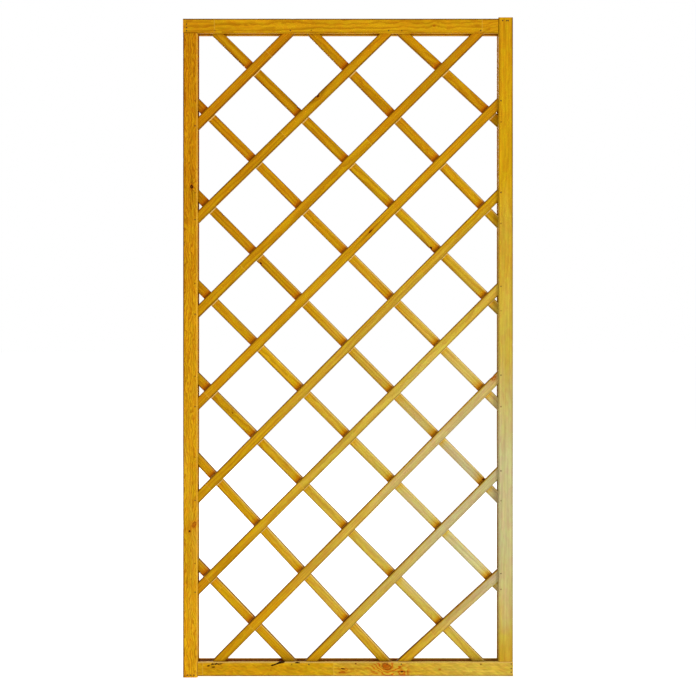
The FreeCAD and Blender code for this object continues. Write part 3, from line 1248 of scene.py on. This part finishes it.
def stained_pine(name, ring_gap, figure, contrast):
    """Stained pine cut from a log: rings about a pith, boards glued end to end, knots, stain, painted sheen,
    painted shade, painted shadows and painted highlights.

    ring_gap is the usual growth ring in metres, figure how far the grain wanders and contrast how
    plainly the rings show, 0 to 1.
    """
    paint = colours()
    b = Bench(name)
    grain = b.attribute("grain", "Vector")
    along, across, deep = b.split(grain)

    # Which of the boards that are glued end to end, with fingers that show on the edges
    finger = b.times(b.math("PINGPONG", deep, 2 * MM), 4.5)
    reached = b.math("ADD", along, finger)
    board = 0.0
    seam = 1.0
    for joint in b.split(b.attribute("joints", "Vector")):
        past = b.math("SUBTRACT", reached, joint)
        board = b.math("ADD", board, b.math("GREATER_THAN", past, 0.0))
        seam = b.math("MINIMUM", seam, b.math("ABSOLUTE", past))
    key = b.adding(b.attribute("seed"), (board, 3.71))

    # Each board's own draws: where its pith lies, how wide its rings are and how light it is
    chance = b.node("ShaderNodeTexWhiteNoise", noise_dimensions="1D")
    b.feed(chance.inputs["W"], key)
    first, second, third = b.node("ShaderNodeSeparateColor", chance.outputs["Color"]).outputs
    fourth = chance.outputs["Value"]
    shift = b.node("ShaderNodeCombineXYZ", *[b.times(key, factor) for factor in (3.17, 1.31, 2.23)])
    place = b.vector("ADD", grain, shift.outputs[0])
    knot = b.attribute("knot")
    lift = b.attribute("lift")
    curly = b.attribute("curly")

    # Growth rings
    from_pith_out = b.math("SUBTRACT", across, b.ramp(first, 0.0, 1.0, -60 * MM, 100 * MM))
    from_pith_deep = b.math("SUBTRACT", deep, b.ramp(second, 0.0, 1.0, 35 * MM, 110 * MM))
    square = b.math("ADD", b.math("POWER", from_pith_out, 2.0), b.math("POWER", from_pith_deep, 2.0))
    sway = b.wander(place, (4, 14, 14), 1.0)
    curl = b.times(b.wander(place, (26, 60, 60), 2.0), b.math("ADD", curly, 0.3))
    radius = b.adding(b.math("SQRT", square), (sway, figure), (curl, figure))
    radius = b.math("ADD", radius, lift)
    gap = b.ramp(third, 0.0, 1.0, ring_gap * 0.75, ring_gap * 1.5)
    ring = b.math("FRACT", b.math("DIVIDE", radius, gap))
    summer = b.times(b.ramp(ring, 0.30, 0.86), b.ramp(ring, 1.0, 0.90))

    # Fibre, resin canals and the uneven taking of the stain
    fibre = b.noise(place, (22, 700, 700), 2.0, 0.55)
    streak = b.noise(place, (5, 210, 210), 2.0, 0.55)
    canal = b.ramp(b.noise(place, (60, 900, 900), 1.0), 0.72, 0.84)
    blotch = b.noise(place, (7, 26, 26), 3.0, 0.55)
    mottle = b.noise(place, (45, 95, 95), 3.0, 0.6)

    # Curly grain: short strokes that lie across the bar at a slant
    slant = b.node(
        "ShaderNodeCombineXYZ",
        b.math("ADD", b.times(along, 0.91), b.times(across, 0.42)),
        b.math("SUBTRACT", b.times(across, 0.91), b.times(along, 0.42)),
        b.math("ADD", deep, key),
    )
    stroke = b.ramp(b.noise(slant.outputs[0], (30, 150, 60), 2.0, 0.5), 0.42, 0.62)
    stroke = b.times(stroke, curly)

    # The stain, from its own amber to pale under the painted sheen
    patchy = b.wander(place, (6, 40, 40), 3.0)
    bleach = b.math("MULTIPLY_ADD", patchy, 0.30, b.attribute("bleach"), clamp=True)
    fading = b.node("ShaderNodeValToRGB", bleach)
    stops = fading.color_ramp.elements
    stops.new(0.35)
    stops.new(0.68)
    for stop, stain in zip(stops, (paint.amber, paint.honey, paint.straw, paint.khaki)):
        stop.color = (*stain, 1.0)
    wood = fading.outputs[0]

    # Each ring's darker summer wood, plainest round a knot
    pale = b.rest_of(b.times(bleach, 0.6))
    ringed = b.times(summer, b.times(b.attribute("figure"), contrast), pale)
    wood = b.mix(ringed, wood, b.tinted(wood, paint.summer_wood))
    wood = b.mix(b.times(summer, b.ramp(lift, 2 * MM, 10 * MM)), wood, paint.knot_red_and_crossing_shadow)

    # Light and dark of the board, its streaks, fibres, blotches, canals and strokes
    tone = b.times(b.ramp(fourth, 0.0, 1.0, 0.95, 1.04), b.attribute("tone"))
    tone = b.times(tone, b.ramp(streak, 0.28, 0.72, 0.88, 1.08))
    tone = b.times(tone, b.ramp(fibre, 0.25, 0.75, 0.94, 1.05))
    tone = b.times(tone, b.ramp(blotch, 0.2, 0.8, 0.93, 1.06))
    tone = b.times(tone, b.rest_of(b.times(canal, 0.25)))
    tone = b.times(tone, b.ramp(stroke, 0.0, 1.0, 0.94, 1.12))
    warmth = b.times(b.ramp(second, 0.0, 1.0, 0.95, 1.05), b.ramp(mottle, 0.3, 0.7, 0.88, 1.08))
    shade = b.node("ShaderNodeCombineColor", tone, b.times(tone, warmth), tone)
    wood = b.tinted(wood, shade.outputs[0])

    # Arrises: painted shade on most of them, a painted highlight on some
    edge = b.attribute("arris")
    uneven = b.ramp(blotch, 0.3, 0.7, 0.65, 1.0)
    darkened = b.times(b.math("MAXIMUM", edge, 0.0), uneven, pale)
    wood = b.mix(darkened, wood, b.tinted(wood, paint.arris_shade_and_resin))
    wood = b.mix(b.times(b.math("MINIMUM", edge, 0.0), -0.7, uneven), wood, paint.rubbed_and_highlit)

    # Painted shadow beside a crossing, painted highlight strips and resin run from a knot
    pool = b.times(b.attribute("pool"), b.ramp(mottle, 0.2, 0.8, 0.75, 1.0))
    wood = b.mix(pool, wood, paint.knot_red_and_crossing_shadow)
    wood = b.mix(b.times(b.math("POWER", pool, 3.0), 0.45), wood, paint.shade_and_end_grain)
    wood = b.mix(b.attribute("bare"), wood, paint.painted_highlight_colour)
    resin = b.times(b.attribute("resin"), b.ramp(streak, 0.42, 0.56, 0.1, 0.85))
    wood = b.mix(resin, wood, b.tinted(wood, paint.arris_shade_and_resin))

    # Knots: a heart, a thin ring of bark and stained grain round them. Cracks are as dark as the bark.
    ragged = b.adding(b.math("SUBTRACT", knot, 0.35), (b.noise(place, (240, 240, 240), 2.0), 0.7))
    dead = b.attribute("dead")
    wood = b.mix(b.times(b.ramp(ragged, 2.2, 0.9), 0.4), wood, paint.knot_red_and_crossing_shadow)
    whorl = b.math("ABSOLUTE", b.math("SINE", b.times(ragged, 9.0)))
    broken = b.noise(place, (330, 330, 330), 3.0, 0.6)
    heart = b.mix(b.times(whorl, 0.5), paint.knot_heart, paint.knot_red_and_crossing_shadow)
    heart = b.mix(b.ramp(broken, 0.42, 0.62, 0.0, 0.75), heart, wood)
    heart = b.mix(b.times(dead, b.ramp(ragged, 0.25, 0.6, 0.6, 0.95)), heart, paint.knot_bark)
    wood = b.mix(b.ramp(ragged, 1.05, 0.85), wood, heart)
    bark = b.times(b.ramp(ragged, 0.72, 0.9), b.ramp(ragged, 1.15, 0.97))
    wood = b.mix(b.times(bark, b.ramp(dead, 0.0, 1.0, 0.45, 0.9)), wood, paint.knot_bark)
    wood = b.mix(b.ramp(b.attribute("crack"), 0.15, 0.8, 0.0, 0.95), wood, paint.knot_bark)

    # Glue lines, painted shade in the groove, rust round the brads and open end grain
    end = b.attribute("end")
    wood = b.mix(b.times(b.ramp(seam, 1.0 * MM, 0.4 * MM), 0.45), wood, paint.glue_line)
    shaded = b.times(b.attribute("groove"), b.ramp(streak, 0.2, 0.8, 0.75, 0.97))
    wood = b.mix(shaded, wood, paint.shade_and_end_grain)
    rust = b.ramp(b.adding(b.attribute("rust"), (blotch, 0.4)), 0.60, 0.95)
    wood = b.mix(b.times(rust, 0.75), wood, paint.rust)
    wood = b.mix(b.times(end, 0.45), wood, paint.shade_and_end_grain)
    b.feed(b.surface.inputs["Base Color"], wood)

    smooth_wood = b.ramp(summer, 0.0, 1.0, 0.50, 0.40)
    b.feed(b.surface.inputs["Roughness"], b.adding(smooth_wood, (fibre, 0.16), (end, 0.25), (bleach, 0.12)))
    b.surface.inputs["Specular IOR Level"].default_value = 0.12
    b.surface.inputs["Specular Tint"].default_value = (1.0, 0.55, 0.06, 1.0)
    b.relief(b.adding(b.times(summer, 0.45), (fibre, 0.5), (canal, -0.5), (bark, -0.8)), 0.18 * MM, 0.7)
    return b.material


def zinc_wire():
    """Weathered zinc wire with drawing marks and specks of rust."""
    paint = colours()
    b = Bench("dulled_zinc_wire")
    place = b.objects_place()
    mottle = b.noise(place, (900, 900, 900), 3.0)
    drawn = b.noise(place, (3000, 200, 3000), 2.0)
    speck = b.ramp(b.noise(place, (420, 420, 420), 4.0, 0.65), 0.52, 0.66)
    dark = tuple(channel * 0.55 for channel in paint.wire)
    metal = b.mix(mottle, dark, paint.wire)
    b.feed(b.surface.inputs["Base Color"], b.mix(b.times(speck, 0.8), metal, paint.rust))
    b.feed(b.surface.inputs["Metallic"], b.ramp(speck, 0.0, 1.0, 0.75, 0.15))
    polish = b.math("MULTIPLY_ADD", drawn, 0.22, 0.34)
    b.feed(b.surface.inputs["Roughness"], b.adding(polish, (speck, 0.3)))
    b.relief(b.math("ADD", mottle, drawn), 0.04 * MM)
    return b.material


def pale_floor():
    """A plain matt pale floor."""
    paint = colours()
    b = Bench("pale_floor")
    cloud = b.noise(b.objects_place(), (1.3, 1.3, 1.3), 2.0)
    off = tuple(channel * 0.985 for channel in paint.floor)
    b.feed(b.surface.inputs["Base Color"], b.mix(cloud, off, paint.floor))
    b.surface.inputs["Roughness"].default_value = 0.9
    b.surface.inputs["Specular IOR Level"].default_value = 0.1
    b.surface.inputs["Emission Color"].default_value = (1, 1, 1, 1)
    b.surface.inputs["Emission Strength"].default_value = bpy.context.scene.trellis_stage.floor_glow
    return b.material


# ---------------------------------------------------------------- stage


def soft_light(name, place, target, size, watts):
    """A softbox of these two sides aimed at a point."""
    data = bpy.data.lights.new(name, "AREA")
    data.shape = "RECTANGLE"
    data.size = size[0]
    data.size_y = size[1]
    data.energy = watts
    light = in_scene(name, data)
    light.location = place
    light.rotation_euler = (Vector(target) - Vector(place)).to_track_quat("-Z", "Y").to_euler()


def make_stage():
    """Floor, ambient light, softboxes and camera."""
    stage = bpy.context.scene.trellis_stage
    half_side = 40.0
    corners = [(x, y, 0) for x, y, _ in rectangle(half_side, half_side, 0)]
    floor_mesh = mesh_of(corners, [(0, 1, 2, 3)])
    floor_mesh.materials.append(pale_floor())
    in_scene("floor", floor_mesh)

    world = bpy.data.worlds.new("studio")
    world.use_nodes = True
    nodes = world.node_tree.nodes
    links = world.node_tree.links
    ambient = nodes["Background"]
    ambient.inputs["Color"].default_value = (1, 1, 1, 1)
    ambient.inputs["Strength"].default_value = stage.sky
    backdrop = nodes.new("ShaderNodeBackground")
    backdrop.inputs["Color"].default_value = (1, 1, 1, 1)
    seen = nodes.new("ShaderNodeLightPath")
    either = nodes.new("ShaderNodeMixShader")
    links.new(seen.outputs["Is Camera Ray"], either.inputs[0])
    links.new(ambient.outputs[0], either.inputs[1])
    links.new(backdrop.outputs[0], either.inputs[2])
    links.new(either.outputs[0], nodes["World Output"].inputs["Surface"])
    bpy.context.scene.world = world

    middle = (cad_low + cad_high) / 2
    for name, (place, sides, setting) in SOFTBOXES.items():
        soft_light(name, place, middle, sides, getattr(stage, setting))

    view = bpy.data.cameras.new("panel_camera")
    view.sensor_width = 36
    view.lens = view.sensor_width / 2 / math.tan(stage.field / 2)
    view.shift_y = stage.view_shift
    camera = in_scene("panel_camera", view)
    camera.location = (0, cad_low.y - stage.eye_distance, stage.eye_height)
    camera.rotation_euler = (math.pi / 2 - stage.pitch, 0, 0)
    bpy.context.scene.camera = camera
    bpy.context.scene.view_settings.view_transform = "Standard"


# ---------------------------------------------------------------- add-on


def timber(name):
    """The named timber material, made once."""
    return bpy.data.materials.get(name) or stained_pine(name, *TIMBERS[name])


def wire():
    """The wire material, made once."""
    return bpy.data.materials.get("dulled_zinc_wire") or zinc_wire()


class TRELLIS_OT_posts_and_rails(Operator):
    """Make the two posts and two rails with their grooves and corner joints"""

    bl_idname = "trellis.posts_and_rails"
    bl_label = "Posts and rails"

    def execute(self, context):
        material = timber("frame_pine")
        for seed, name in enumerate(BARS):
            make_bar(name, 1.7 + 2.3 * seed, material)
        return {"FINISHED"}


class TRELLIS_OT_rising_laths(Operator):
    """Make the front layer of laths, which rise to the right"""

    bl_idname = "trellis.rising_laths"
    bl_label = "Rising laths"

    def execute(self, context):
        material = timber("lath_pine")
        for index, name in enumerate(RISING_LATHS):
            make_lath(name, 20.3 + 1.9 * index, material, ())
        return {"FINISHED"}


class TRELLIS_OT_falling_laths(Operator):
    """Make the back layer of laths, which fall to the right, with slots for the staples"""

    bl_idname = "trellis.falling_laths"
    bl_label = "Falling laths"

    def execute(self, context):
        material = timber("lath_pine")
        staples = staple_places()
        for index, name in enumerate(FALLING_LATHS):
            make_lath(name, 60.1 + 2.1 * index, material, staples)
        return {"FINISHED"}


class TRELLIS_OT_brads(Operator):
    """Make the brads at the corners and at the laths' ends"""

    bl_idname = "trellis.brads"
    bl_label = "Brads"

    def execute(self, context):
        for node in BRAD_NODES:
            make_brads(node, wire())
        return {"FINISHED"}


class TRELLIS_OT_staples(Operator):
    """Make the staples that hold the crossings from the back"""

    bl_idname = "trellis.staples"
    bl_label = "Crossing staples"

    def execute(self, context):
        make_staples(wire())
        return {"FINISHED"}


class TRELLIS_OT_stage(Operator):
    """Make the floor, the lights and the camera"""

    bl_idname = "trellis.stage"
    bl_label = "Stage"

    def execute(self, context):
        make_stage()
        return {"FINISHED"}


OPERATORS = (
    TRELLIS_OT_posts_and_rails,
    TRELLIS_OT_rising_laths,
    TRELLIS_OT_falling_laths,
    TRELLIS_OT_brads,
    TRELLIS_OT_staples,
    TRELLIS_OT_stage,
)
GROUPS = {"trellis_sizes": TrellisSizes, "trellis_colours": TrellisColours, "trellis_stage": TrellisStage}


class TRELLIS_PT_panel(Panel):
    """Lists the pieces in the 3D view's sidebar"""

    bl_idname = "TRELLIS_PT_panel"
    bl_label = "Trellis panel"
    bl_space_type = "VIEW_3D"
    bl_region_type = "UI"
    bl_category = "Trellis"

    def draw(self, context):
        for operator in OPERATORS:
            self.layout.operator(operator.bl_idname)
        for name in GROUPS:
            group = getattr(context.scene, name)
            for key in group.bl_rna.properties.keys():
                if key not in ("rna_type", "name"):
                    self.layout.prop(group, key)


def register():
    for group in GROUPS.values():
        bpy.utils.register_class(group)
    for name, group in GROUPS.items():
        setattr(bpy.types.Scene, name, PointerProperty(type=group))
    for operator in OPERATORS:
        bpy.utils.register_class(operator)
    bpy.utils.register_class(TRELLIS_PT_panel)


def unregister():
    bpy.utils.unregister_class(TRELLIS_PT_panel)
    for operator in reversed(OPERATORS):
        bpy.utils.unregister_class(operator)
    for name, group in GROUPS.items():
        delattr(bpy.types.Scene, name)
        bpy.utils.unregister_class(group)


def main():
    register()
    bpy.ops.trellis.posts_and_rails()
    bpy.ops.trellis.rising_laths()
    bpy.ops.trellis.falling_laths()
    bpy.ops.trellis.brads()
    bpy.ops.trellis.staples()
    bpy.ops.trellis.stage()


if __name__ == "__main__":
    main()
